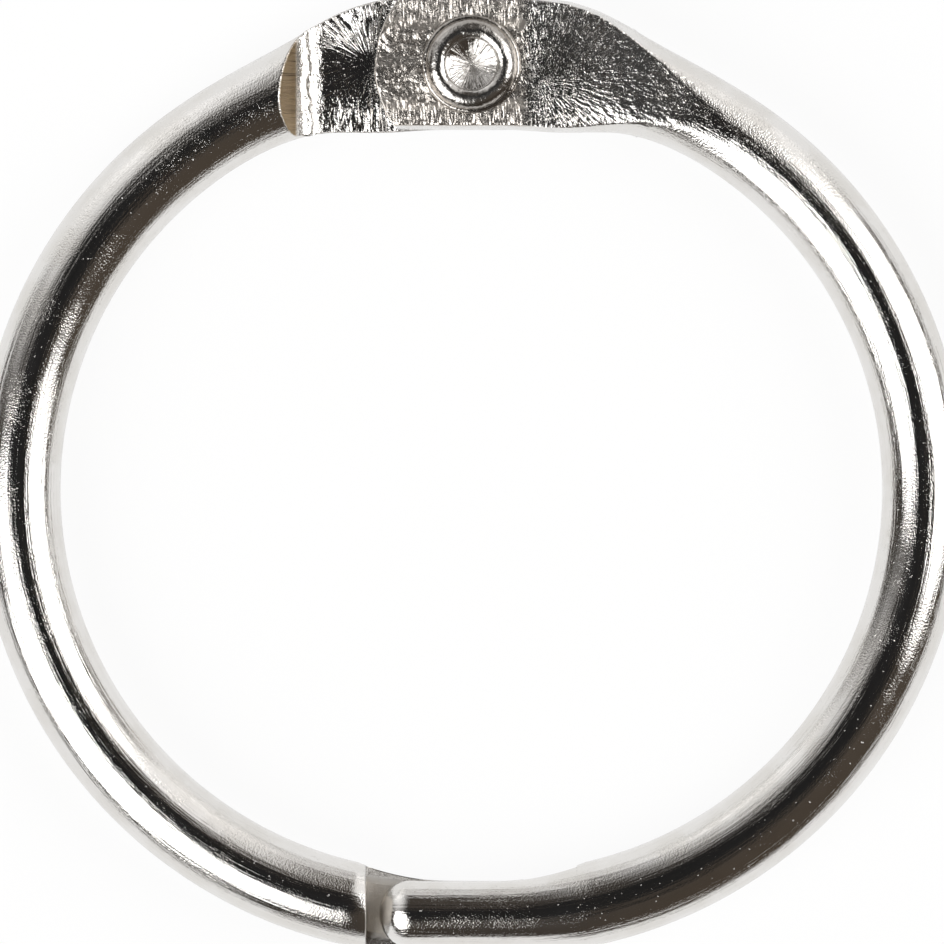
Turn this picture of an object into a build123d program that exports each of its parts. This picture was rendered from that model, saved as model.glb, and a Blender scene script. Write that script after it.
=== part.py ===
from build123d import *
from math import pi, sqrt
import os

# Hinged binder ring, lying flat: +Z is the front, the hinge is at +Y and the clasp at -Y.
# Lengths are in millimetres. The origin is below the middle of the ring, on the surface it lies on.

# Ring: two half circles of round wire, drawn apart at the hinge and the clasp
wire_diameter = 2.6
arc_radius = 13.13  # to the wire's centre line
half_spread = 0.885  # from the ring's mid-line to the middle of each half circle

# Hinge paddle: the wire's end, swelled, pressed flat in front and recessed behind
paddle_width = 4.16
paddle_offset = 0.08  # of its middle, outward from the wire's centre line
paddle_thickness = 0.95
paddle_gap = 0.10  # between the two paddles
paddle_edge_band = 0.12  # rounded border beside the flat
paddle_reach = 3.05  # from the rivet's axis to the paddle's end
paddle_end_radius = 3.3
swell_length = 8.6  # along the wire, from the rivet's axis to where the round wire starts
swell_shares = (  # of the swell's length, of the added width and of the added depth
    (1.0, 0.000, 0.000),
    (0.9, 0.010, 0.015),
    (0.8, 0.045, 0.060),
    (0.7, 0.125, 0.150),
    (0.6, 0.290, 0.290),
    (0.5, 0.570, 0.500),
    (0.4, 0.830, 0.800),
    (0.3, 0.970, 0.960),
    (0.2, 1.000, 1.000),
    (0.1, 1.000, 1.000),
    (0.0, 1.000, 1.000),
)
ramp_start = 1.9  # from the rivet's axis to the foot of the ramp
ramp_end = 7.65  # from the rivet's axis to where the ramp meets the wire's crest
bevel_slope_share = 0.31  # fall of the bevel on the ramp's inner side, of its width
bevel_shares = (  # of the swell's length, and of half the paddle's width in to the bevel's upper edge
    (0.12, 0.97),
    (0.26, 0.49),
    (0.47, 0.70),
    (0.69, 0.92),
)

# Shoulder: the leaning wall where the recess ends in the round wire
shoulder_distance = 5.13  # from the rivet's axis, at the recess floor
shoulder_lean = 0.78  # how much further out the wall is at the wire's crest
shoulder_fillet = 1.2

# Rivet: a punched and rolled head in front, a plain low head behind
shank_diameter = 1.9
shank_clearance = 0.05  # all round, in the paddles' holes
head_clearance = 0.05  # under each head
flange_diameter = 3.06
flange_height = 0.1
rim_diameter = 2.84
rim_height = 0.42
rim_crest_diameter = 2.06
crater_diameter = 1.6
crater_edge_height = 0.3  # above the head's seat
crater_depth = 0.42  # from its edge to its point
tail_head_diameter = 3.0
tail_head_height = 0.42
tail_head_edge = 0.12  # height of the tail head's rim

# Clasp: half-lapped tongues, each with a lip that hooks behind the other's land
lap_reach = 2.86  # from the ring's mid-line to each tongue's tip
lap_gap = 0.10  # between the two lands
tip_gap = 0.40  # from a tip to the shoulder that it faces
lip_length = 1.15
lip_rise = 0.25  # past the mid-plane
lip_clearance = 0.10  # beside and over a lip
finger_diameter = 2.0  # of the straight, rounded end of the tongue
finger_rise = 0.22  # of its middle above the mid-plane
taper_length = 2.65  # along the wire, from the finger to where the round wire starts
taper_shares = (0, 0.5, 1)

overrun = 1.5  # how far cuts reach past what they cut

# Worked out from the sizes above, heights from the mid-plane between the halves
wire_radius = wire_diameter / 2
paddle_back = paddle_gap / 2
paddle_front = paddle_back + paddle_thickness
rivet_seat = paddle_front + head_clearance
mid_height = max(rivet_seat + tail_head_height, wire_radius)
finger_radius = finger_diameter / 2
ring_y = (wire_radius + finger_radius - paddle_width) / 4 - paddle_offset / 2
finger_start = half_spread + pi * arc_radius  # along the wire, from the rivet's axis
paddle_run = paddle_reach + overrun

up = Vector(0, 0, 1)
half_circle_plane = Plane(origin=(half_spread, ring_y, mid_height))
hinge_plane = Plane(origin=(0, ring_y + arc_radius, mid_height))
hinge_side = Plane(origin=hinge_plane.origin, x_dir=(1, 0, 0), z_dir=(0, -1, 0))
clasp_side = Plane(origin=(0, ring_y - arc_radius, mid_height), x_dir=(1, 0, 0), z_dir=(0, -1, 0))
finger_side = Plane(origin=clasp_side.origin + up * finger_rise, x_dir=(1, 0, 0), z_dir=(0, -1, 0))
hinge_axis = Axis(hinge_plane.origin, up)

# Centre line of the right half, from beyond the paddle's end to the start of the finger
with BuildLine(half_circle_plane) as centre_line:
    Line((-half_spread - paddle_run, arc_radius), (0, arc_radius))
    CenterArc((0, 0), arc_radius, 90, -180)


def section_plane(distance):
    """Plane across the right half, at a distance along its centre line from the rivet's axis."""
    along = paddle_run + distance
    origin = centre_line.wire().position_at(along, position_mode=PositionMode.LENGTH)
    heading = centre_line.wire().tangent_at(along, position_mode=PositionMode.LENGTH)
    return Plane(origin=origin, x_dir=up.cross(heading), z_dir=heading)


def forged_section(distance, offset, half_width, front_height):
    """Oval section of the right half, offset outward, which may be higher in front than behind."""
    with BuildSketch(section_plane(distance)) as section:
        with BuildLine():
            EllipticalCenterArc((offset, 0), half_width, front_height, 0, arc_size=180)
            EllipticalCenterArc((offset, 0), half_width, wire_radius, 180, arc_size=180)
        make_face()
    return section.sketch


# Swelling at the hinge: it is deep enough to leave the border beside the flat
flat_share = 1 - 2 * paddle_edge_band / paddle_width
swell_depth = paddle_front / sqrt(1 - flat_share**2)
paddle_sections = [
    forged_section(
        along_share * swell_length,
        paddle_offset * width_share,
        wire_radius + (paddle_width / 2 - wire_radius) * width_share,
        wire_radius + (swell_depth - wire_radius) * depth_share,
    )
    for along_share, width_share, depth_share in swell_shares
]

# The ramp climbs from the paddle's flat to the wire's crest, in line with the rivet
crest = section_plane(ramp_end).origin - hinge_plane.origin
ramp_side = Plane(origin=hinge_plane.origin, x_dir=crest, z_dir=crest.cross(up))
ramp_slope = (wire_radius - paddle_front) / (ramp_end - ramp_start)

with BuildPart() as right_half:
    # Round wire, from the hinge's swelling to the clasp's taper
    wire_line = centre_line.wire().trim(
        (paddle_run + swell_length) / (paddle_run + finger_start),
        (paddle_run + finger_start - taper_length) / (paddle_run + finger_start),
    )
    with BuildSketch(section_plane(swell_length)):
        Circle(wire_radius)
    sweep(path=wire_line)
    loft(paddle_sections)
    extrude(paddle_sections[-1], amount=-paddle_run)
    # Taper and finger of the tongue
    for taper_share in taper_shares:
        with BuildSketch(section_plane(finger_start - taper_length * (1 - taper_share))):
            with Locations((0, finger_rise * taper_share)):
                Circle(wire_radius + (finger_radius - wire_radius) * taper_share)
    loft()
    with BuildSketch(finger_side):
        with BuildLine():
            nose_start = finger_radius - lap_reach
            CenterArc((nose_start, 0), finger_radius, 90, 90)
            Polyline(
                (-lap_reach, 0),
                (half_spread, 0),
                (half_spread, finger_radius),
                (nose_start, finger_radius),
            )
        make_face()
    revolve(axis=Axis(finger_side.origin, finger_side.x_dir))
    # Flat front of the paddle, and the ramp
    with BuildSketch(ramp_side):
        with BuildLine():
            Polyline(
                (-paddle_run - overrun, paddle_front),
                (ramp_start, paddle_front),
                (ramp_end + overrun, wire_radius + ramp_slope * overrun),
                (ramp_end + overrun, swell_depth + overrun),
                (-paddle_run - overrun, swell_depth + overrun),
                close=True,
            )
        make_face()
    extrude(amount=paddle_width, both=True, mode=Mode.SUBTRACT)
    # Bevel on the ramp's inner side, which runs out beside the rivet and into the wire
    for along_share, edge_share in bevel_shares:
        along = along_share * swell_length
        edge = -edge_share * paddle_width / 2
        height = paddle_front + max(0, along - ramp_start) * ramp_slope
        with BuildSketch(Plane(hinge_plane.origin + (along, 0, 0), x_dir=(0, 1, 0), z_dir=(1, 0, 0))):
            with BuildLine():
                Polyline(
                    (edge, height),
                    (-paddle_width, height - bevel_slope_share * (paddle_width + edge)),
                    (-paddle_width, swell_depth + overrun),
                    (edge, swell_depth + overrun),
                    close=True,
                )
            make_face()
    loft(ruled=True, mode=Mode.SUBTRACT)
    # Recess behind the paddle, ending in the leaning shoulder
    with BuildSketch(hinge_side):
        wall_rise = wire_radius + paddle_back
        wall_top = shoulder_distance + shoulder_lean * (wall_rise + overrun) / wall_rise
        with BuildLine():
            Polyline(
                (-paddle_run - overrun, paddle_back),
                (shoulder_distance, paddle_back),
                (wall_top, paddle_back - wall_rise - overrun),
                (-paddle_run - overrun, paddle_back - wall_rise - overrun),
                close=True,
            )
        make_face()
        fillet(vertices().group_by(Axis.Y)[-1].sort_by(Axis.X)[-1], shoulder_fillet)
    extrude(amount=paddle_width, both=True, mode=Mode.SUBTRACT)
    # Rounded end of the paddle
    with BuildSketch(hinge_plane):
        with Locations((-paddle_run, 0)):
            Rectangle(2 * paddle_run, 2 * paddle_width)
        with Locations((paddle_end_radius - paddle_reach, 0)):
            Circle(paddle_end_radius, mode=Mode.SUBTRACT)
    extrude(amount=swell_depth + overrun, both=True, mode=Mode.SUBTRACT)
    # Rivet hole
    with BuildSketch(hinge_plane):
        Circle(shank_diameter / 2 + shank_clearance)
    extrude(amount=swell_depth + overrun, both=True, mode=Mode.SUBTRACT)
    # Under side of the tongue: lip, land, neck and shoulder
    with BuildSketch(clasp_side):
        lip_root = lap_reach - lip_length
        neck_height = lip_rise + lip_clearance
        with BuildLine():
            Polyline(
                (-lap_reach - overrun, -lip_rise),
                (-lip_root, -lip_rise),
                (-lip_root, lap_gap / 2),
                (lip_root - lip_clearance, lap_gap / 2),
                (lip_root - lip_clearance, neck_height),
                (lap_reach + tip_gap, neck_height),
                (lap_reach + tip_gap, -wire_radius - overrun),
                (-lap_reach - overrun, -wire_radius - overrun),
                close=True,
            )
        make_face()
    extrude(amount=wire_diameter, both=True, mode=Mode.SUBTRACT)

# The left half is the same forging, turned over about the ring's mid-line
with BuildPart() as left_half:
    with Locations((0, 0, 2 * mid_height)):
        add(right_half.part, rotation=(0, 180, 0))

with BuildPart() as hinge_rivet:
    with BuildSketch(hinge_side):
        with BuildLine():
            crater_edge = (crater_diameter / 2, rivet_seat + crater_edge_height)
            rim_crest = (rim_crest_diameter / 2, rivet_seat + rim_height)
            rim_foot = (rim_diameter / 2, rivet_seat + flange_height)
            flange_edge = (flange_diameter / 2, rivet_seat)
            tail_point = (0, -rivet_seat - tail_head_height)
            tail_rim = (tail_head_diameter / 2, -rivet_seat - tail_head_edge)
            Polyline(
                tail_point,
                (0, rivet_seat + crater_edge_height - crater_depth),
                crater_edge,
            )
            TangentArc(rim_crest, crater_edge, tangent=(-1, 0))
            TangentArc(rim_crest, rim_foot, tangent=(1, 0))
            TangentArc(rim_foot, flange_edge, tangent=(1, 0))
            Polyline(
                flange_edge,
                (shank_diameter / 2, rivet_seat),
                (shank_diameter / 2, -rivet_seat),
                (tail_head_diameter / 2, -rivet_seat),
                tail_rim,
            )
            TangentArc(tail_point, tail_rim, tangent=(1, 0))
        make_face()
    revolve(axis=hinge_axis)

os.makedirs("parts", exist_ok=True)
left_half.part.label = "left_half"
right_half.part.label = "right_half"
hinge_rivet.part.label = "hinge_rivet"
export_step(left_half.part, "parts/left_half.step")
export_step(right_half.part, "parts/right_half.step")
export_step(hinge_rivet.part, "parts/hinge_rivet.step")
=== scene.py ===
import math

import bmesh
import bpy
import numpy as np
from mathutils import Matrix, Vector


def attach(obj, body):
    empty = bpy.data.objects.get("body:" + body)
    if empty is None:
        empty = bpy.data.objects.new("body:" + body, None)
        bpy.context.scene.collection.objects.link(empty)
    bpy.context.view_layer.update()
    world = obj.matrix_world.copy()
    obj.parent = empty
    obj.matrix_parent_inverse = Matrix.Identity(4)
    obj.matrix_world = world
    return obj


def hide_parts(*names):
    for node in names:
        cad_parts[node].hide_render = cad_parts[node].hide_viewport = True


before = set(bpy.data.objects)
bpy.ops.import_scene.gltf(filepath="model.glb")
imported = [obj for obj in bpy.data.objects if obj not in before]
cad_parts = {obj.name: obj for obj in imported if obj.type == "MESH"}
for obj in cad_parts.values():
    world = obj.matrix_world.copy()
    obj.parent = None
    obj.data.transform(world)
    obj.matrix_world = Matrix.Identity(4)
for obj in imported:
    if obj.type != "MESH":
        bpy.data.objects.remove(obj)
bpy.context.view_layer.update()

MM = 0.001  # lengths below are in millimetres, in the CAD's frame

# Ring
WIRE_RADIUS = 1.3
ARC_RADIUS = 13.13
HALF_SPREAD = 0.885
RING_Y = -0.505
MID_HEIGHT = 1.47
HINGE_Y = RING_Y + ARC_RADIUS
FINGER_START = HALF_SPREAD + math.pi * ARC_RADIUS
SKIN = 0.001  # keeps the wire's facets inside the CAD's box

# Hinge paddle: its swelling, flat, ramp and bevel
PADDLE_HALF_WIDTH = 2.08
PADDLE_OFFSET = 0.08
PADDLE_FRONT = 1.0
PADDLE_BACK = 0.05
PADDLE_EDGE_BAND = 0.12
SWELL_LENGTH = 8.6
SWELL_ALONG = tuple(i / 10 for i in range(11))
SWELL_WIDTH = (1.0, 1.0, 1.0, 0.97, 0.83, 0.57, 0.29, 0.125, 0.045, 0.01, 0.0)
SWELL_HEIGHT = (1.0, 1.0, 1.0, 0.96, 0.80, 0.50, 0.29, 0.15, 0.06, 0.015, 0.0)
RAMP_START = 1.9
RAMP_END = 7.65
BEVEL_SLOPE = 0.31
BEVEL_ALONG = (1.03, 2.24, 4.04, 5.93)
BEVEL_EDGE = (-2.018, -1.019, -1.456, -1.914)
BEVEL_BLEND = 0.14
BEVEL_FADE_IN = (2.2, 4.4)
BEVEL_FADE_OUT = (5.4, 6.6)
PADDLE_REACH = 3.05
PADDLE_SQUARE = -1.0  # from here on its sections lie square across the wire
PADDLE_END_RADIUS = 3.3
END_BEVEL = 0.07
END_RAGGED = ((0.04, 1.7, 7), (0.03, 5.5, 0))  # depth, waves per millimetre and shift
HOLE_RADIUS = 1.0
CUT_EDGE = 0.04  # rounding where a flat cuts the round section

# Recess behind the paddle, with its fillet and leaning wall
SHOULDER_DISTANCE = 5.13
SHOULDER_LEAN = 0.78
SHOULDER_FILLET = 1.2
SHOULDER_EDGE = 0.06  # added to the rounding over this stretch of the wire
SHOULDER_EDGE_FROM = (5.0, 5.4)

# Clasp
LAP_REACH = 2.86
LAP_GAP = 0.10
TIP_GAP = 0.40
LIP_LENGTH = 1.15
LIP_RISE = 0.25
LIP_CLEARANCE = 0.10
LIP_ROOT = LAP_REACH - LIP_LENGTH
LAP_STEPS = (LAP_REACH + TIP_GAP, LIP_ROOT - LIP_CLEARANCE, -LIP_ROOT)
LAP_EDGE = 0.03
FINGER_RADIUS = 1.0
FINGER_RISE = 0.22
TAPER_LENGTH = 2.65
TAPER_SAG = 0.52
TAPER_BLEND = 0.2
TAPER_RUN = 1.15 * TAPER_LENGTH
LAP_FLAT = 0.75  # half width of the lap's flat, from which its sides roll off
LAP_ROLL = 0.25
LAP_LEAN = 0.75

# Rivet: radius and height above its seat
RIVET_SEAT = 1.05
SHANK_RADIUS = 0.95
FLANGE = (1.53, 0.0)
RIM_FOOT = (1.42, 0.1)
RIM_CREST = (1.03, 0.42)
CRATER_EDGE = (0.8, 0.3)
CRATER_DEPTH = 0.42
TAIL_RADIUS = 1.5
TAIL_EDGE = 0.12
TAIL_HEIGHT = 0.42
FLUTE_DEPTH = 0.020
HEAD_DENT = 0.006
LIP_FADE = (1.12, 1.26)
# Width of the thin ring of painted shade at the crater's edge
CRATER_EDGE_SHADE_WIDTH = 0.028

# Press marks: middles of the fans of flow marks and the places where each zone
# fades in or out, from the rivet's axis
FRONT_FAN = (2.06, -0.45)
FRONT_FAN_REACH = 2.2
RECESS_FAN = (3.1, 0.05)
RECESS_FAN_REACH = 1.5
RECESS_FAN_CLEAR = 0.1
COIN_MARK_RADIUS = 1.78
COIN_MARK_WIDTH = 0.03
PRESSED_END = (6.4, 7.8)
FRONT_REACH = (-0.10, -0.05)
BACK_REACH = (0.02, 0.05)
RIVET_FIELD_END = (1.45, 1.95)
BEVEL_MARKS_DEEP = (0.0, 0.6)
BEVEL_MARKS_START = (2.4, 4.0)
BEVEL_MARKS_END = (3.4, 5.0)
STRIP_START = (1.0, 1.35)
BLOTCHES_END = (1.1, 1.5)
RECESS_STRIP_START = (0.8, 1.4)
RECESS_MARKS_START = (0.25, 0.8)
RECESS_FLOOR_END = (4.4, 4.7)
FILLET_END = (5.3, 5.45)
WALL_START = (5.36, 5.46)
WALL_END = (5.9, 6.2)
CREASE_AT = 5.10
CREASE_WIDTH = 0.085
GRIT_END = (9, 16)
RELIEF = {"ramp": 0.005, "bevel": 0.006, "blotches": 0.022, "strip": 0.006, "coin": 0.020,
          "floor": 0.010, "crease": 0.045, "fillet": 0.008, "wall": 0.007}

# Mesh density
TOP_POINTS = 96
BOTTOM_POINTS = 80
DENSE = 420
FINE_STEP = 0.045
WIRE_STEP = 0.30
TONGUE_STEP = 0.07
END_STATIONS = 6
BESIDE_LAP_STEP = (0.004, 0.03)
NOSE_STATIONS = 40
NOSE_CAP = 0.0015
RIVET_TURNS = 192
CRATER_RINGS = 26

# Finish
NICKEL_PALE = (0.76, 0.745, 0.725, 1)
NICKEL_WARM = (0.71, 0.69, 0.66, 1)
PRESSED_GREY = (0.60, 0.555, 0.505, 1)
# Painted shade on the shoulder's leaning wall: brown, darker along its ridges
WALL_BROWN_SHADE = (0.34, 0.245, 0.135, 1)
WALL_RIDGE_SHADE = (0.030, 0.018, 0.008, 1)
LAP_GREY = (0.60, 0.55, 0.48, 1)
# Darker tone over the rivet, deepened into painted shade on its slopes and at the crater's edge
RIVET_GREY_AND_SHADE = (0.26, 0.235, 0.21, 1)
PLATE_ROUGHNESS = 0.115
GRAIN_HEIGHT = 0.0065
PIT_DEPTH = 0.005

# Studio
FLOOR_REACH = 1.6  # metres, as the light's distance
FLOOR_PALE = (0.93, 0.93, 0.925, 1)
FLOOR_CLOUD = (0.90, 0.90, 0.895, 1)
FLOOR_WHITE = 0.91  # share of white that camera and mirror rays see
LIGHT_DISTANCE = 0.6
DARK_AXIS = (-0.10, 0.0, 0.995)
DARK_FROM = (0.87, 0.95)
ROOM_LEFT = (0.052, 0.045, 0.039, 1)
ROOM_RIGHT = (0.078, 0.062, 0.048, 1)
ROOM_TOP = (0.014, 0.014, 0.014, 1)
WHITE = (1, 1, 1, 1)

# Photo frame: 944 pixels across
PHOTO = 944
PIXELS_PER_MM = 32.3
RING_CENTRE_PIXEL = (471.4, 489.4)
CAMERA_HEIGHT = 420.0
SENSOR = 36.0


# Numeric helpers

def lattice(ix, iy, seed):
    """Repeatable random value from 0 to 1 at each whole-number point."""
    h = (ix.astype(np.int64) * 374761393 + iy.astype(np.int64) * 668265263 + seed * 974711) & 0x7FFFFFFF
    h = ((h ^ (h >> 13)) * 1274126177) & 0x7FFFFFFF
    return ((h ^ (h >> 16)) & 0xFFFF) / 65535.0


def noise(x, y, seed):
    """Smooth noise from -1 to 1."""
    x, y = np.broadcast_arrays(np.asarray(x, float), np.asarray(y, float))
    ix, iy = np.floor(x), np.floor(y)
    fx, fy = x - ix, y - iy
    ux = fx * fx * fx * (fx * (fx * 6 - 15) + 10)
    uy = fy * fy * fy * (fy * (fy * 6 - 15) + 10)
    a, b = lattice(ix, iy, seed), lattice(ix + 1, iy, seed)
    c, d = lattice(ix, iy + 1, seed), lattice(ix + 1, iy + 1, seed)
    return 2 * ((a + (b - a) * ux) * (1 - uy) + (c + (d - c) * ux) * uy) - 1


def step(low, high, x):
    """Smooth step from 0 at low to 1 at high."""
    t = np.clip((np.asarray(x, float) - low) / (high - low), 0, 1)
    return t * t * (3 - 2 * t)


def smooth_min(a, b, k):
    h = np.clip(0.5 + 0.5 * (b - a) / k, 0, 1)
    return b * (1 - h) + a * h - k * h * (1 - h)


def smooth_max(a, b, k):
    return -smooth_min(-a, -b, k)


def ridge(x, middle, width):
    """Bell curve, 1 at its middle."""
    return np.exp(-((x - middle) / width) ** 2)


def monotone(xs, ys, x):
    """Monotone cubic curve through the points."""
    xs, ys = np.array(xs, float), np.array(ys, float)
    d = np.diff(ys) / np.diff(xs)
    m = np.zeros(len(xs))
    for i in range(1, len(xs) - 1):
        if d[i - 1] * d[i] > 0:
            m[i] = 2 * d[i - 1] * d[i] / (d[i - 1] + d[i])
    x = min(max(x, xs[0]), xs[-1])
    i = min(int(np.searchsorted(xs, x, side="right")) - 1, len(xs) - 2)
    h = xs[i + 1] - xs[i]
    t = (x - xs[i]) / h
    return ((2 * t**3 - 3 * t**2 + 1) * ys[i] + (t**3 - 2 * t**2 + t) * h * m[i]
            + (3 * t**2 - 2 * t**3) * ys[i + 1] + (t**3 - t**2) * h * m[i + 1])


# Shape of one half, in the right half's own frame, heights from the mid-plane

FLAT_SHARE = 1 - PADDLE_EDGE_BAND / PADDLE_HALF_WIDTH
SWELL_DEPTH = PADDLE_FRONT / math.sqrt(1 - FLAT_SHARE**2)


def plan(s, w):
    """Plan position at distance s along the wire from the rivet and w outward."""
    w = np.asarray(w, float)
    if s <= HALF_SPREAD:
        return np.full_like(w, s), HINGE_Y + w
    if s <= FINGER_START:
        a = (s - HALF_SPREAD) / ARC_RADIUS
        return HALF_SPREAD + (ARC_RADIUS + w) * math.sin(a), RING_Y + (ARC_RADIUS + w) * math.cos(a)
    return np.full_like(w, HALF_SPREAD - (s - FINGER_START)), RING_Y - ARC_RADIUS - w


crest_x, crest_y = (float(c[0]) for c in plan(RAMP_END, np.zeros(1)))
ramp_run = math.hypot(crest_x, crest_y - HINGE_Y)
RAMP_ALONG = (crest_x / ramp_run, (crest_y - HINGE_Y) / ramp_run)
RAMP_SLOPE = (WIRE_RADIUS - PADDLE_FRONT) / (RAMP_END - RAMP_START)


def bevel_depth(x, y):
    """How far a point lies inside the bevel's upper edge."""
    return np.interp(x, BEVEL_ALONG, BEVEL_EDGE) - (y - HINGE_Y)


def ramp_height(x, y):
    """Height of the paddle's flat, the ramp and the bevel on its inner side."""
    along = x * RAMP_ALONG[0] + (y - HINGE_Y) * RAMP_ALONG[1]
    ramp = PADDLE_FRONT + np.maximum(0, along - RAMP_START) * RAMP_SLOPE
    crease = PADDLE_FRONT + np.maximum(0, x - RAMP_START) * RAMP_SLOPE
    bevel = smooth_min(ramp, crease - BEVEL_SLOPE * bevel_depth(x, y), BEVEL_BLEND)
    here = step(*BEVEL_FADE_IN, x) * (1 - step(*BEVEL_FADE_OUT, x))
    return ramp + (np.minimum(bevel, ramp) - ramp) * here


WALL_RISE = WIRE_RADIUS + PADDLE_BACK
WALL_ANGLE = math.atan2(SHOULDER_LEAN, WALL_RISE)
FILLET_TANGENT = SHOULDER_FILLET / math.tan((math.pi / 2 + WALL_ANGLE) / 2)
FILLET_IN = SHOULDER_DISTANCE - FILLET_TANGENT
FILLET_OUT = SHOULDER_DISTANCE + FILLET_TANGENT * math.sin(WALL_ANGLE)
FILLET_FOOT = PADDLE_BACK - FILLET_TANGENT * math.cos(WALL_ANGLE)


def recess_height(x, y):
    """Height of the recess behind the paddle, its fillet and its leaning wall; the same at every y."""
    bowl = PADDLE_BACK - SHOULDER_FILLET + np.sqrt(
        np.maximum(SHOULDER_FILLET**2 - np.clip(x - FILLET_IN, 0, SHOULDER_FILLET) ** 2, 0))
    wall = FILLET_FOOT - (x - FILLET_OUT) / math.tan(WALL_ANGLE)
    return np.where(x < FILLET_OUT, bowl, wall)


def lap_height(x):
    """Under side of the tongue: lip, land and neck, or nothing cut before the lap."""
    neck_end, land_end, lip_end = LAP_STEPS
    if x < lip_end:
        return -LIP_RISE
    if x < land_end:
        return LAP_GAP / 2
    if x < neck_end:
        return LIP_RISE + LIP_CLEARANCE
    return None


def resample(x, y, z, w, count):
    """Evenly spaced points along a section's curve, each with its distance from the curve's middle."""
    run = np.concatenate([[0], np.cumsum(np.hypot(np.diff(w), np.diff(z)))])
    at = np.linspace(0, run[-1], count)
    return [np.interp(at, run, c) for c in (x, y, z)] + [at - run[-1] / 2]


def section(where, offset, half_width, top, bottom, centre, top_cut=None, bottom_cut=None, edge=CUT_EDGE):
    """One closed section: the top from the outer edge inward, then the bottom back out."""
    a = np.linspace(0, math.pi, DENSE)
    w = offset + half_width * np.cos(a)
    x, y = where(w)
    high = centre + top * np.sin(a)
    low = centre - bottom * np.sin(a)
    if top_cut is not None:
        high = smooth_min(high, top_cut(x, y), edge)
    if bottom_cut is not None:
        low = smooth_max(low, bottom_cut(x, y), edge)
    depth = high - low
    inside = np.nonzero(depth >= -1e-9)[0]
    first, last = inside[0], inside[-1]
    # Where a cut ends the section early, the end lies where top and bottom meet
    ends = []
    for i, j in ((first, first - 1), (last, last + 1)):
        if 0 <= j < DENSE and depth[i] > 1e-9:
            t = depth[i] / (depth[i] - depth[j])
            ends.append([c[i] + (c[j] - c[i]) * t for c in (x, y, high, w)])
        else:
            ends.append([c[i] for c in (x, y, high, w)])
    span = slice(first, last + 1)
    upper = [np.concatenate([[p], c[span], [q]]) for c, p, q in zip((x, y, high, w), *ends)]
    lower = [np.concatenate([[p], c[span], [q]]) for c, p, q in zip((x, y, low, w), *ends)]
    tops = resample(*upper, TOP_POINTS)
    bottoms = [c[::-1][1:-1] for c in resample(*lower, BOTTOM_POINTS)]
    side = np.concatenate([np.ones(TOP_POINTS), np.zeros(BOTTOM_POINTS - 2)])
    return [np.concatenate([t, b]) for t, b in zip(tops, bottoms)] + [side]


def wire_station(s):
    radius = WIRE_RADIUS - SKIN
    return section(lambda w: plan(s, w), 0, radius, radius, radius, 0)


def paddle_station(s, where=None):
    share = max(s, 0) / SWELL_LENGTH
    widen = monotone(SWELL_ALONG, SWELL_WIDTH, share)
    half_width = WIRE_RADIUS + (PADDLE_HALF_WIDTH - WIRE_RADIUS) * widen
    depth = WIRE_RADIUS + (SWELL_DEPTH - WIRE_RADIUS) * monotone(SWELL_ALONG, SWELL_HEIGHT, share)
    edge = CUT_EDGE + SHOULDER_EDGE * float(step(*SHOULDER_EDGE_FROM, s))
    return section(where or (lambda w: plan(s, w)), PADDLE_OFFSET * widen, half_width, depth, WIRE_RADIUS, 0,
                   ramp_height, recess_height, edge)


def end_edge(w, seed):
    """Ragged, rounded end of the paddle."""
    edge = PADDLE_END_RADIUS - PADDLE_REACH - np.sqrt(PADDLE_END_RADIUS**2 - w**2)
    for k, (depth, waves, shift) in enumerate(END_RAGGED):
        edge = edge + depth * (1 + noise(w * waves + shift, 0, seed + k))
    return edge


def tongue_station(x0, skew, radius, rise, cut):
    """Section of the tongue at x0; with full skew it lies across X."""
    def where(w):
        if x0 <= HALF_SPREAD:
            return np.full_like(w, x0), RING_Y - ARC_RADIUS - w
        flat = np.arcsin(np.clip((x0 - HALF_SPREAD) / (ARC_RADIUS + w), -1, 1))
        radial = math.asin((x0 - HALF_SPREAD) / ARC_RADIUS)
        a = radial + (flat - radial) * skew
        return HALF_SPREAD + (ARC_RADIUS + w) * np.sin(a), RING_Y - (ARC_RADIUS + w) * np.cos(a)
    bottom_cut = None if cut is None else (lambda x, y: np.full_like(x, cut))
    return section(where, 0, radius, radius, radius, rise, None, bottom_cut, LAP_EDGE)


def paddle_end_sections(seed):
    """Rounded, ragged end of the paddle, blending into sections square across the wire."""
    middle = (PADDLE_FRONT + PADDLE_BACK) / 2
    for i in range(END_STATIONS):
        a = math.pi / 2 * i / (END_STATIONS - 1)
        inset = END_BEVEL * (1 - math.sin(a))
        shift = END_BEVEL * (1 - math.cos(a))
        x, y, z, around, side = paddle_station(0, lambda w: (end_edge(w, seed) + shift, HINGE_Y + w))
        z = middle + (z - middle) * (1 - inset / (PADDLE_FRONT - middle))
        y = HINGE_Y + (y - HINGE_Y) * (1 - inset / PADDLE_HALF_WIDTH)
        yield -PADDLE_REACH, x, y, z, around, side
    run = PADDLE_REACH + PADDLE_SQUARE
    count = int(run / FINE_STEP)
    for i in range(1, count + 1):
        q = i / count
        yield -PADDLE_REACH + run * q, *paddle_station(
            0, lambda w: ((end_edge(w, seed) + END_BEVEL) * (1 - q) + PADDLE_SQUARE * q, HINGE_Y + w))


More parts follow.
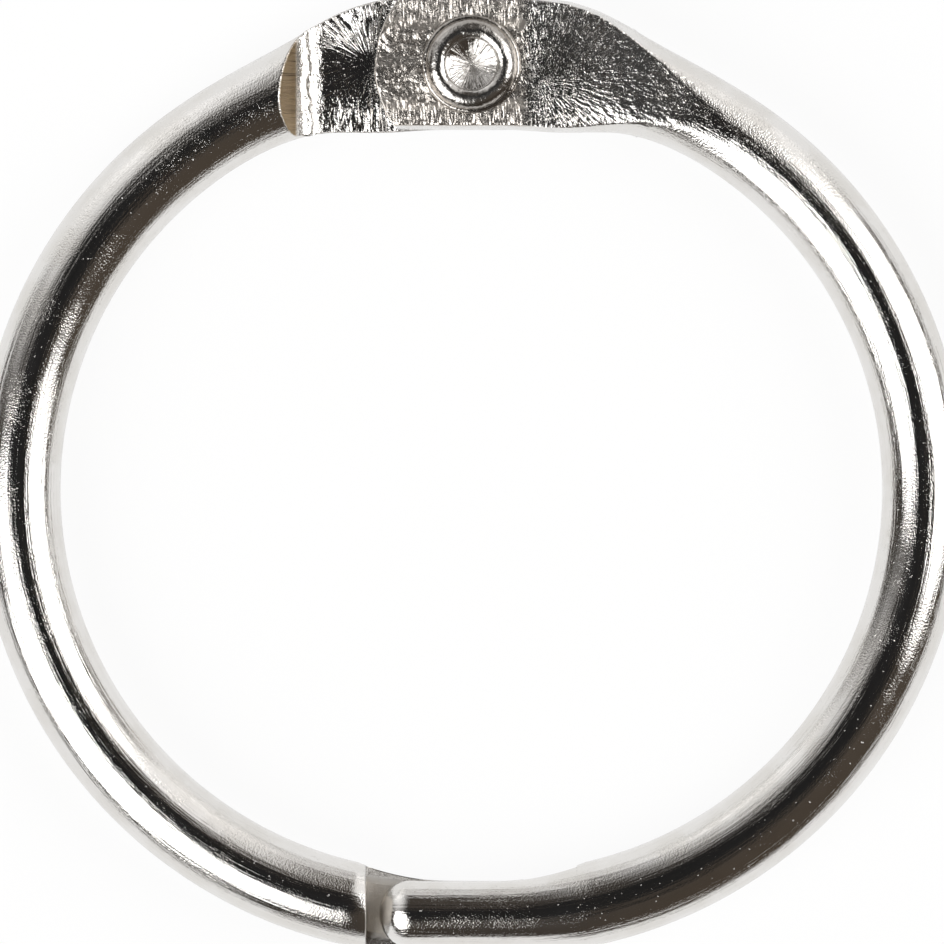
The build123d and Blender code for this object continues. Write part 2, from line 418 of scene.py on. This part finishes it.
def tongue_sections():
    """Tapering wire, lapped finger and round nose, with close sections beside each step of the lap."""
    start = HALF_SPREAD + ARC_RADIUS * math.sin(TAPER_RUN / ARC_RADIUS)
    nose_start = FINGER_RADIUS - LAP_REACH
    stops = list(np.arange(start, nose_start, -TONGUE_STEP))
    for edge in LAP_STEPS:
        stops += [edge + side * d for d in BESIDE_LAP_STEP for side in (1, -1)]
    stops += [nose_start - FINGER_RADIUS * math.sin(math.pi / 2 * i / NOSE_STATIONS)
              for i in range(NOSE_STATIONS)]
    stops.append(NOSE_CAP - LAP_REACH)
    for x0 in sorted(stops, reverse=True):
        on_arc = math.asin(max(0.0, x0 - HALF_SPREAD) / ARC_RADIUS) * ARC_RADIUS
        share = (on_arc or min(0.0, x0 - HALF_SPREAD)) / TAPER_LENGTH
        eased = smooth_min(share * (1 - TAPER_SAG * (1 - share)), 1.0, TAPER_BLEND)
        t = 1 - float(smooth_max(eased, 0.0, TAPER_BLEND))
        radius = WIRE_RADIUS - SKIN + (FINGER_RADIUS - WIRE_RADIUS) * t
        tip = max(0.0, nose_start - x0) / FINGER_RADIUS
        radius *= math.sqrt(max(1e-5, 1 - tip**2))
        s = FINGER_START - on_arc if x0 > HALF_SPREAD else FINGER_START + HALF_SPREAD - x0
        skew = float(1 - step(LAP_STEPS[0] + 0.05, start, x0))
        yield s, *tongue_station(x0, skew, radius, FINGER_RISE * t, lap_height(x0))


def half_sections(seed):
    """All sections of one half, from the paddle's end to the finger's nose, each with its distance s."""
    rows = list(paddle_end_sections(seed))
    rows += [(s, *paddle_station(s)) for s in np.arange(PADDLE_SQUARE + FINE_STEP, SWELL_LENGTH, FINE_STEP)]
    wire_end = FINGER_START - TAPER_RUN - WIRE_STEP / 2
    rows += [(s, *wire_station(s)) for s in np.arange(SWELL_LENGTH, wire_end, WIRE_STEP)]
    return rows + list(tongue_sections())


# Worked surface: flow marks of the press, ridges of the shoulder

def fan_noise(x, y, middle, turns, along, seed):
    """Noise drawn out along the rays from a middle."""
    dx, dy = x - middle[0], y - middle[1]
    return noise(np.arctan2(dy, dx) * turns, np.hypot(dx, dy) * along, seed)


def work_marks(x, y, z, s, side, seed):
    """Relief along the normal, in millimetres, and the masks of each worked zone."""
    hx, hy = x, y - HINGE_Y
    off_middle = np.abs(hy)
    pressed = 1 - step(*PRESSED_END, s)
    front = (side > 0.5) * step(*FRONT_REACH, z - ramp_height(x, y)) * pressed
    on_recess = 1 - step(*BACK_REACH, np.abs(z - recess_height(x, y)))
    back = (side < 0.5) * on_recess * (1 - step(*WALL_END, hx)) * pressed
    # Front: the field round the rivet, with blotches in its middle and strips beside them, then the ramp
    by_rivet = 1 - step(*RIVET_FIELD_END, hx)
    from_front_fan = np.clip(np.hypot(hx - FRONT_FAN[0], hy - FRONT_FAN[1]) / FRONT_FAN_REACH, 0, 1)
    strip = front * by_rivet * step(*STRIP_START, off_middle)
    blotches = front * by_rivet * (1 - step(*BLOTCHES_END, off_middle))
    ramp = front * (1 - by_rivet) * from_front_fan
    fan_foot = front * (1 - by_rivet) * (1 - from_front_fan)
    bevel = front * step(*BEVEL_MARKS_DEEP, bevel_depth(x, y)) * step(*BEVEL_MARKS_START, hx) * from_front_fan
    bevel *= 1 - 0.8 * step(*BEVEL_MARKS_END, hx)
    # Recess: its floor, marked more strongly on the outer side, then the fillet and the wall
    from_recess_fan = np.hypot(hx - RECESS_FAN[0], hy - RECESS_FAN[1]) / RECESS_FAN_REACH
    from_recess_fan = np.clip(from_recess_fan - RECESS_FAN_CLEAR, 0, 1)
    on_floor = back * (1 - step(*RECESS_FLOOR_END, hx))
    marked = 0.22 + 0.78 * np.where(hy > 0, step(*RECESS_MARKS_START, hy), 0)
    floor = on_floor * marked * from_recess_fan
    flecked = strip + on_floor * step(*RECESS_STRIP_START, -hy)
    fillet = back * step(*RECESS_FLOOR_END, hx) * (1 - step(*FILLET_END, hx))
    wall = back * step(*WALL_START, hx)

    relief = ramp * RELIEF["ramp"] * fan_noise(hx, hy, FRONT_FAN, 15, 1.6, seed)
    relief += bevel * RELIEF["bevel"] * fan_noise(hx, hy, FRONT_FAN, 11, 2.0, seed + 2)
    relief += blotches * RELIEF["blotches"] * noise(hx * 2.1 + 3, hy * 2.1, seed + 4)
    relief += strip * RELIEF["strip"] * noise(hx * 7, hy * 1.6, seed + 5)
    # Arc struck by the rivet's die
    coin = ridge(np.hypot(hx, hy), COIN_MARK_RADIUS, COIN_MARK_WIDTH)
    relief -= front * RELIEF["coin"] * coin * step(-0.1, 0.5, hy) * step(0.8, 1.3, hx)
    relief += floor * RELIEF["floor"] * fan_noise(hx, hy, RECESS_FAN, 9, 0.9, seed + 6)
    # Uneven crease along the fillet
    crease = CREASE_AT + 0.10 * noise(hy * 1.1, 0, seed + 10) + 0.06 * noise(hy * 4.5, 0, seed + 11)
    relief -= fillet * RELIEF["crease"] * ridge(hx, crease, CREASE_WIDTH)
    relief += fillet * RELIEF["fillet"] * noise(hx * 3.5, hy * 3.5, seed + 12)
    relief += wall * RELIEF["wall"] * noise(hy * 11, hx * 0.6, seed + 14)

    grit = 1 - step(*GRIT_END, s)
    lap = (side < 0.5) * (y < RING_Y) * (x < LAP_STEPS[0] + 0.02)
    drawn = 1 - np.clip(front + back + lap, 0, 1)
    return relief, {"marks_a": (ramp, bevel, strip), "marks_b": (blotches, floor, fillet),
                    "marks_c": (wall, lap, drawn), "marks_d": (flecked, fan_foot, grit)}


# Meshes

def add_vectors(mesh, name, columns):
    attribute = mesh.attributes.new(name, "FLOAT_VECTOR", "POINT")
    attribute.data.foreach_set("vector", np.stack(columns, axis=1).astype(np.float32).ravel())


def ring_quads(rings, count):
    """Quads between rings of count points each."""
    i = np.arange(count)
    j = (i + 1) % count
    here = np.arange(rings - 1)[:, None] * count
    beyond = here + count
    return np.stack([here + i, beyond + i, beyond + j, here + j], axis=2).reshape(-1, 4).tolist()


def open_hole(mesh):
    """Cut the rivet's hole through the paddle and close its wall."""
    bm = bmesh.new()
    bm.from_mesh(mesh)
    middle = Vector((0, HINGE_Y * MM))
    inside = [f for f in bm.faces if all((v.co.xy - middle).length < HOLE_RADIUS * MM for v in f.verts)]
    bmesh.ops.delete(bm, geom=inside, context="FACES")
    rim = [e for e in bm.edges if e.is_boundary]
    for v in {v for e in rim for v in e.verts}:
        v.co.xy = middle + (v.co.xy - middle).normalized() * HOLE_RADIUS * MM
    bmesh.ops.bridge_loops(bm, edges=rim)
    bmesh.ops.recalc_face_normals(bm, faces=bm.faces)
    bm.to_mesh(mesh)
    bm.free()


def show(mesh, body):
    """Finish a mesh as the piece that is shown in place of the body's solid."""
    mesh.shade_smooth()
    mesh.set_sharp_from_angle(angle=math.radians(50))
    piece = bpy.data.objects.new(body + "_shown", mesh)
    bpy.context.scene.collection.objects.link(piece)
    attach(piece, body)
    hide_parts(body)
    return piece


def build_half(body, turned, seed):
    rows = half_sections(seed)
    count = TOP_POINTS + BOTTOM_POINTS - 2
    s = np.repeat([row[0] for row in rows], count)
    x, y, z, around, side = (np.concatenate([row[k] for row in rows]) for k in range(1, 6))
    i = np.arange(count)
    last = (len(rows) - 1) * count
    caps = [i.tolist(), (last + i)[::-1].tolist()]
    mesh = bpy.data.meshes.new(body + "_shown")
    points = np.stack([x, y, z + MID_HEIGHT], axis=1) * MM
    mesh.from_pydata(points.tolist(), [], ring_quads(len(rows), count) + caps)
    mesh.update()
    normals = np.zeros(len(points) * 3)
    mesh.vertices.foreach_get("normal", normals)
    relief, marks = work_marks(x, y, z, s, side, seed)
    points += normals.reshape(-1, 3) * (relief * MM)[:, None]
    mesh.vertices.foreach_set("co", points.ravel())
    seeds = np.full_like(s, seed)
    add_vectors(mesh, "flow", (s, around, seeds + 7 * side))
    add_vectors(mesh, "own", (x, y - HINGE_Y, seeds))
    for name, columns in marks.items():
        add_vectors(mesh, name, columns)
    open_hole(mesh)
    if turned:
        mesh.transform(Matrix.Translation((0, 0, 2 * MID_HEIGHT * MM)) @ Matrix.Rotation(math.pi, 4, "Y"))
    return show(mesh, body)


def tangent_arc(start, end, outward, count):
    """Points on the arc that leaves start level, towards outward, and ends at end."""
    dx, dy = abs(end[0] - start[0]), start[1] - end[1]
    radius = (dx * dx + dy * dy) / (2 * dy)
    last = math.atan2(dx, radius - dy)
    return [(start[0] + outward * radius * math.sin(last * i / count),
             start[1] - radius * (1 - math.cos(last * i / count))) for i in range(count + 1)]


def build_rivet(body):
    """Turned rivet: punched crater and rolled rim in front, shank, low domed tail behind."""
    crater = [(CRATER_EDGE[0] * i / CRATER_RINGS, CRATER_EDGE[1] - CRATER_DEPTH * (1 - i / CRATER_RINGS))
              for i in range(1, CRATER_RINGS)]
    crest = tangent_arc(RIM_CREST, CRATER_EDGE, -1, 12)[::-1]
    outer = tangent_arc(RIM_CREST, RIM_FOOT, 1, 16)[1:]
    skirt = tangent_arc(RIM_FOOT, FLANGE, 1, 8)[1:]
    head = [(r, RIVET_SEAT + h) for r, h in crater + crest + outer + skirt]
    shank = [(SHANK_RADIUS, RIVET_SEAT), (SHANK_RADIUS, -RIVET_SEAT), (TAIL_RADIUS, -RIVET_SEAT)]
    dome = tangent_arc((0, TAIL_HEIGHT), (TAIL_RADIUS, TAIL_EDGE), 1, 24)
    tail = [(r, -RIVET_SEAT - h) for r, h in dome[:0:-1]]
    profile = np.array(head + shank + tail)
    angles = np.arange(RIVET_TURNS) * 2 * math.pi / RIVET_TURNS
    r, a = np.repeat(profile[:, 0], RIVET_TURNS), np.tile(angles, len(profile))
    h = np.repeat(profile[:, 1], RIVET_TURNS)
    hx, hy = r * np.cos(a), r * np.sin(a)
    on_head = h > RIVET_SEAT
    in_crater = (np.repeat(np.arange(len(profile)), RIVET_TURNS) < len(crater)) * 1.0
    # Flutes punched into the crater, dents in the rolled rim
    deep = r / CRATER_EDGE[0]
    flutes = noise(np.cos(a) * 3.1 + 9, np.sin(a) * 3.1, 31)
    flutes = flutes + 0.6 * noise(np.cos(a) * 6.3, np.sin(a) * 6.3 + 5, 33)
    lift = in_crater * FLUTE_DEPTH * flutes * deep * (1 - step(0.86, 1.0, deep))
    lift -= (1 - in_crater) * on_head * HEAD_DENT * (1 + noise(hx * 2.4, hy * 2.4, 35))
    points = np.stack([hx, HINGE_Y + hy, h + lift + MID_HEIGHT], axis=1)
    tips = [[0, HINGE_Y, MID_HEIGHT + RIVET_SEAT + CRATER_EDGE[1] - CRATER_DEPTH],
            [0, HINGE_Y, MID_HEIGHT - RIVET_SEAT - TAIL_HEIGHT]]
    high, low = len(points), len(points) + 1
    last = (len(profile) - 1) * RIVET_TURNS
    turns = [(i, (i + 1) % RIVET_TURNS) for i in range(RIVET_TURNS)]
    fans = [[high, p, q] for p, q in turns] + [[low, last + q, last + p] for p, q in turns]
    mesh = bpy.data.meshes.new(body + "_shown")
    mesh.from_pydata((np.concatenate([points, tips]) * MM).tolist(), [],
                     ring_quads(len(profile), RIVET_TURNS) + fans)
    lip = (1 - in_crater) * on_head * (1 - step(*LIP_FADE, r))
    # Painted shade: a thin dark ring at the crater's edge, and darker slopes off the rim's crest
    crater_edge_shade = ridge(r, CRATER_EDGE[0], CRATER_EDGE_SHADE_WIDTH) * on_head
    slope_and_shade = np.maximum(1 - in_crater - lip, crater_edge_shade)
    at_tips = np.zeros(len(tips))
    for name, columns in (("own", (hx, hy, np.full_like(r, 5.0))), ("flow", (a * r, r, np.full_like(r, 50.0))),
                          ("marks_a", (in_crater, lip, slope_and_shade))):
        add_vectors(mesh, name, [np.append(c, at_tips) for c in columns])
    mesh.update()
    return show(mesh, body)


# Materials

class Nodes:
    """Short calls for building one node tree."""

    def __init__(self, tree):
        self.tree = tree
        tree.nodes.clear()

    def put(self, socket, value):
        if hasattr(value, "is_output"):
            self.tree.links.new(value, socket)
        else:
            socket.default_value = value

    def add(self, kind, settings=None, **inputs):
        node = self.tree.nodes.new(kind)
        for key, value in (settings or {}).items():
            setattr(node, key, value)
        for key, value in inputs.items():
            self.put(node.inputs[key.replace("_", " ")], value)
        return node

    def math(self, operation, *values):
        node = self.add("ShaderNodeMath", {"operation": operation})
        for socket, value in zip(node.inputs, values):
            self.put(socket, value)
        return node.outputs[0]

    def vector(self, operation, *values, result="Vector"):
        node = self.add("ShaderNodeVectorMath", {"operation": operation})
        for socket, value in zip(node.inputs, values):
            self.put(socket, value)
        return node.outputs[result]

    def attribute(self, name):
        return self.add("ShaderNodeAttribute", {"attribute_name": name}).outputs["Vector"]

    def parts(self, vector):
        return self.add("ShaderNodeSeparateXYZ", Vector=vector).outputs

    def object_place(self, scale):
        """Place in the object's own frame, times a scale."""
        return self.vector("MULTIPLY", self.add("ShaderNodeTexCoord").outputs["Object"], (scale, scale, scale))

    def noise(self, vector, detail=2.0, roughness=0.5):
        """Noise about zero."""
        node = self.add("ShaderNodeTexNoise", Vector=vector, Scale=1.0, Detail=detail, Roughness=roughness)
        return self.math("SUBTRACT", node.outputs["Fac"], 0.5)

    def scaled_noise(self, vector, scale, detail=2.0, roughness=0.5):
        """Noise about zero, with a scale of its own along each axis."""
        return self.noise(self.vector("MULTIPLY", vector, scale), detail, roughness)

    def ramp(self, value, low, high):
        node = self.add("ShaderNodeMapRange", {"interpolation_type": "SMOOTHSTEP"}, Value=value)
        node.inputs["From Min"].default_value = low
        node.inputs["From Max"].default_value = high
        return node.outputs["Result"]

    def mix(self, factor, a, b):
        node = self.add("ShaderNodeMix", {"data_type": "RGBA"})
        self.put(node.inputs["Factor"], factor)
        for socket, value in zip([q for q in node.inputs if q.type == "RGBA"], (a, b)):
            self.put(socket, value)
        return [q for q in node.outputs if q.type == "RGBA"][0]

    def mix_shaders(self, factor, a, b):
        node = self.add("ShaderNodeMixShader", Fac=factor)
        for socket, value in zip(node.inputs[1:], (a, b)):
            self.put(socket, value.outputs[0])
        return node.outputs[0]

    def total(self, *terms):
        """Sum of value times weight."""
        result = 0.0
        for value, weight in terms:
            result = self.math("MULTIPLY_ADD", value, weight, result)
        return result

    def fan(self, own, middle, turns, along):
        """Coordinates that draw noise out along the rays from a middle."""
        away = self.vector("SUBTRACT", self.vector("MULTIPLY", own, (1, 1, 0)), (*middle, 0))
        reach = self.vector("LENGTH", away, result="Value")
        seed = self.parts(own)[2]
        lift = self.add("ShaderNodeCombineXYZ", Z=self.math("MULTIPLY_ADD", reach, along, seed)).outputs[0]
        return self.vector("MULTIPLY_ADD", self.vector("NORMALIZE", away), (turns, turns, turns), lift)


def new_material(name):
    material = bpy.data.materials.new(name)
    material.use_nodes = True
    return material, Nodes(material.node_tree)


class Plate:
    """Bright nickel plate with its grain and pits, to which each piece adds its own marks.

    Heights are in millimetres, each with the value that it multiplies.
    """

    def __init__(self, name):
        self.material, self.n = new_material(name)
        n = self.n
        self.flow, self.own = n.attribute("flow"), n.attribute("own")
        self.place = n.object_place(1 / MM)
        self.lines = n.scaled_noise(self.flow, (0.16, 6.0, 1.0), 4.0, 0.62)
        self.grain = n.scaled_noise(self.place, (18.0, 18.0, 18.0), 1.5, 0.6)
        pits = n.ramp(n.scaled_noise(self.place, (11.0, 11.0, 11.0), 1.0, 0.5), 0.24, 0.31)
        tone = n.scaled_noise(self.place, (0.7, 0.7, 0.7), 3.0, 0.55)
        patch = n.math("ADD", 0.6, n.ramp(tone, -0.15, 0.2))
        self.colour = n.mix(n.ramp(tone, -0.15, 0.15), NICKEL_PALE, NICKEL_WARM)
        self.rough = [(self.lines, 0.12), (self.grain, 0.10)]
        self.height = [(n.math("MULTIPLY", self.grain, patch), GRAIN_HEIGHT), (pits, -PIT_DEPTH)]

    def tint(self, mask, share, colour):
        self.colour = self.n.mix(self.n.math("MULTIPLY", mask, share), self.colour, colour)

    def finish(self):
        n = self.n
        bump = n.add("ShaderNodeBump", Strength=1.0, Distance=MM, Height=n.total(*self.height))
        roughness = n.math("ADD", PLATE_ROUGHNESS, n.total(*self.rough))
        shader = n.add("ShaderNodeBsdfPrincipled", Base_Color=self.colour, Metallic=1.0, Roughness=roughness,
                       Normal=bump.outputs["Normal"])
        n.add("ShaderNodeOutputMaterial", Surface=shader.outputs["BSDF"])
        return self.material


def wire_plate(name):
    """Plate of the halves: draw lines along the wire, marks of the press on the paddle and the lap."""
    plate = Plate(name)
    n, own, lines, grain = plate.n, plate.own, plate.lines, plate.grain
    ramp, bevel, strip = n.parts(n.attribute("marks_a"))
    blotches, floor, fillet = n.parts(n.attribute("marks_b"))
    wall, lap, drawn = n.parts(n.attribute("marks_c"))
    flecked, fan_foot, grit = n.parts(n.attribute("marks_d"))
    drift = n.scaled_noise(plate.flow, (0.10, 1.5, 1.0), 1.0, 0.5)
    fine = n.noise(n.fan(own, FRONT_FAN, 20.0, 2.8), 1.5, 0.5)
    streak = n.noise(n.fan(own, FRONT_FAN, 14.0, 2.4), 2.0, 0.55)
    flecks = n.scaled_noise(own, (5.5, 1.3, 1.0), 1.5, 0.5)
    blots = n.scaled_noise(own, (2.4, 2.4, 1.0), 2.0, 0.55)
    worn = n.ramp(n.scaled_noise(own, (0.9, 0.9, 1.0), 1.0, 0.5), -0.14, 0.14)
    veins = n.math("ABSOLUTE", n.scaled_noise(own, (1.3, 1.3, 1.0), 2.0, 0.55))
    veins = n.math("MULTIPLY", veins, worn)
    burst = n.ramp(n.noise(n.fan(own, RECESS_FAN, 10.0, 1.3), 1.5, 0.5), -0.08, 0.14)
    ridges = n.scaled_noise(own, (0.8, 19.0, 1.0), 2.0, 0.6)
    crust = n.scaled_noise(own, (6.0, 6.0, 1.0), 3.0, 0.6)
    off_middle = n.math("ABSOLUTE", n.parts(plate.flow)[1])
    over = n.math("MAXIMUM", n.math("SUBTRACT", off_middle, LAP_FLAT), 0.0)
    lap_flat = n.math("MULTIPLY", lap, n.ramp(off_middle, LAP_FLAT + LAP_ROLL, LAP_FLAT))
    for value, mask, depth in ((lines, drawn, 0.018), (drift, drawn, 0.030),
                               (fine, ramp, 0.046), (streak, bevel, 0.085), (crust, ramp, 0.006),
                               (flecks, flecked, 0.110), (blots, blotches, 0.070), (veins, blotches, 0.260),
                               (burst, floor, 0.043), (crust, floor, 0.022), (crust, fillet, 0.032),
                               (ridges, wall, 0.090), (crust, lap, 0.030), (over, lap, -LAP_LEAN),
                               (crust, fan_foot, 0.018), (grain, grit, GRAIN_HEIGHT)):
        plate.height.append((n.math("MULTIPLY", value, mask), depth))
    plate.rough += [(ramp, 0.09), (strip, 0.16), (blotches, 0.15), (floor, 0.04), (wall, 0.29), (lap, 0.14),
                    (lap_flat, 0.32)]
    plate.tint(n.math("ADD", strip, blotches), 0.8, PRESSED_GREY)
    # Painted shade on the leaning wall: brown, with darker streaks along its ridges
    plate.tint(wall, 0.95, WALL_BROWN_SHADE)
    plate.tint(wall, n.ramp(ridges, 0.04, 0.24), WALL_RIDGE_SHADE)
    plate.tint(lap_flat, 0.5, LAP_GREY)
    return plate.finish()


def rivet_plate(name):
    """Plate of the rivet: rays in the punched crater, dents on the rolled rim, darker slopes and a thin dark
    ring at the crater's edge, both painted shade.
    """
    plate = Plate(name)
    n = plate.n
    crater, lip, slope_and_shade = n.parts(n.attribute("marks_a"))
    rays = n.noise(n.fan(plate.own, (0.0, 0.0), 9.0, 1.1), 2.0, 0.6)
    dents = n.scaled_noise(plate.place, (2.6, 2.6, 2.6), 2.0, 0.55)
    plate.height += [(n.math("MULTIPLY", rays, crater), 0.036), (dents, 0.045)]
    plate.rough += [(lip, 0.10), (slope_and_shade, 0.08), (crater, 0.04)]
    # Darker tone over the whole rivet, with painted shade on the slopes and at the crater's edge
    plate.tint(n.math("MAXIMUM", slope_and_shade, 0.55), 0.7, RIVET_GREY_AND_SHADE)
    return plate.finish()


def white_floor(name):
    """Pale floor that camera and mirror rays see as white, with part of the ring's shadow."""
    material, n = new_material(name)
    cloud = n.noise(n.object_place(40.0), 3.0, 0.5)
    colour = n.mix(n.ramp(cloud, -0.2, 0.2), FLOOR_PALE, FLOOR_CLOUD)
    lit = n.add("ShaderNodeBsdfDiffuse", Color=colour)
    white = n.add("ShaderNodeEmission", Color=WHITE, Strength=1.0)
    path = n.add("ShaderNodeLightPath")
    seen = n.math("MAXIMUM", path.outputs["Is Camera Ray"], path.outputs["Is Glossy Ray"])
    n.add("ShaderNodeOutputMaterial", Surface=n.mix_shaders(n.math("MULTIPLY", seen, FLOOR_WHITE), lit, white))
    return material


# Object

wire_finish = wire_plate("nickel_wire")
for piece in (build_half("left_half", True, 11), build_half("right_half", False, 71)):
    piece.data.materials.append(wire_finish)
build_rivet("hinge_rivet").data.materials.append(rivet_plate("nickel_rivet"))

# Floor

corners = ((-1, -1), (1, -1), (1, 1), (-1, 1))
floor_mesh = bpy.data.meshes.new("floor")
floor_mesh.from_pydata([(x * FLOOR_REACH, y * FLOOR_REACH, 0) for x, y in corners], [], [(0, 1, 2, 3)])
floor = bpy.data.objects.new("floor", floor_mesh)
bpy.context.scene.collection.objects.link(floor)
floor_mesh.materials.append(white_floor("floor_white"))


# Light: soft boxes and pale cards round the ring, dark above

def light_card(name, bearing, span, low, high, radiance, soft):
    """Soft-edged light that fills these bearings and elevations, in degrees, as seen from the ring."""
    data = bpy.data.lights.new(name, "AREA")
    data.shape = "RECTANGLE"
    middle = math.radians((low + high) / 2)
    data.size = 2 * LIGHT_DISTANCE * math.tan(math.radians(span / 2)) * math.cos(middle)
    data.size_y = 2 * LIGHT_DISTANCE * math.tan(math.radians((high - low) / 2))
    data.energy = radiance * math.pi * data.size * data.size_y
    data.use_nodes = True
    n = Nodes(data.node_tree)
    across, up, _ = n.parts(n.add("ShaderNodeNewGeometry").outputs["Parametric"])
    place = n.add("ShaderNodeCombineXYZ", X=across, Y=up).outputs[0]
    from_middle = n.vector("LENGTH", n.vector("MULTIPLY_ADD", place, (2, 2, 0), (-1, -1, 0)), result="Value")
    glow = n.add("ShaderNodeEmission", Strength=n.ramp(from_middle, 1.0, 1.0 - soft))
    n.add("ShaderNodeOutputLight", Surface=glow.outputs[0])
    lamp = bpy.data.objects.new(name, data)
    a = math.radians(bearing)
    towards = Vector((math.cos(a) * math.cos(middle), math.sin(a) * math.cos(middle), math.sin(middle)))
    facing = towards.to_track_quat("Z", "Y").to_matrix().to_4x4()
    lamp.matrix_world = Matrix.Translation(towards * LIGHT_DISTANCE) @ facing
    lamp.visible_camera = False
    bpy.context.scene.collection.objects.link(lamp)


light_card("softbox_low_left", bearing=216, span=77, low=15, high=70, radiance=4.2, soft=0.24)
light_card("softbox_right", bearing=10, span=60, low=14, high=64, radiance=4.2, soft=0.30)
light_card("card_upper_right", bearing=50, span=50, low=-6, high=68, radiance=1.0, soft=0.6)
light_card("card_upper_left", bearing=136, span=76, low=-12, high=64, radiance=0.9, soft=0.9)
light_card("card_low_back", bearing=96, span=120, low=-24, high=26, radiance=0.74, soft=0.4)

world = bpy.data.worlds.new("studio")
bpy.context.scene.world = world
world.use_nodes = True
n = Nodes(world.node_tree)
direction = n.add("ShaderNodeTexCoord").outputs["Generated"]
rise = n.vector("DOT_PRODUCT", direction, DARK_AXIS, result="Value")
side = n.mix(n.ramp(n.parts(direction)[0], -0.2, 0.5), ROOM_LEFT, ROOM_RIGHT)
room = n.add("ShaderNodeBackground", Color=n.mix(n.ramp(rise, *DARK_FROM), side, ROOM_TOP))
white = n.add("ShaderNodeBackground", Color=WHITE)
seen = n.add("ShaderNodeLightPath").outputs["Is Camera Ray"]
n.add("ShaderNodeOutputWorld", Surface=n.mix_shaders(seen, room, white))

# Camera: straight down, with the photo's framing

bpy.context.scene.view_settings.view_transform = "Standard"
camera_data = bpy.data.cameras.new("camera")
camera_data.sensor_width = SENSOR
camera_data.lens = SENSOR * CAMERA_HEIGHT / (PHOTO / PIXELS_PER_MM)
camera_data.clip_start = 0.01
camera_data.clip_end = 10.0
camera = bpy.data.objects.new("camera", camera_data)
camera.location = (
    (PHOTO / 2 - RING_CENTRE_PIXEL[0]) / PIXELS_PER_MM * MM,
    (RING_Y + (RING_CENTRE_PIXEL[1] - PHOTO / 2) / PIXELS_PER_MM) * MM,
    (MID_HEIGHT + CAMERA_HEIGHT) * MM,
)
bpy.context.scene.collection.objects.link(camera)
bpy.context.scene.camera = camera
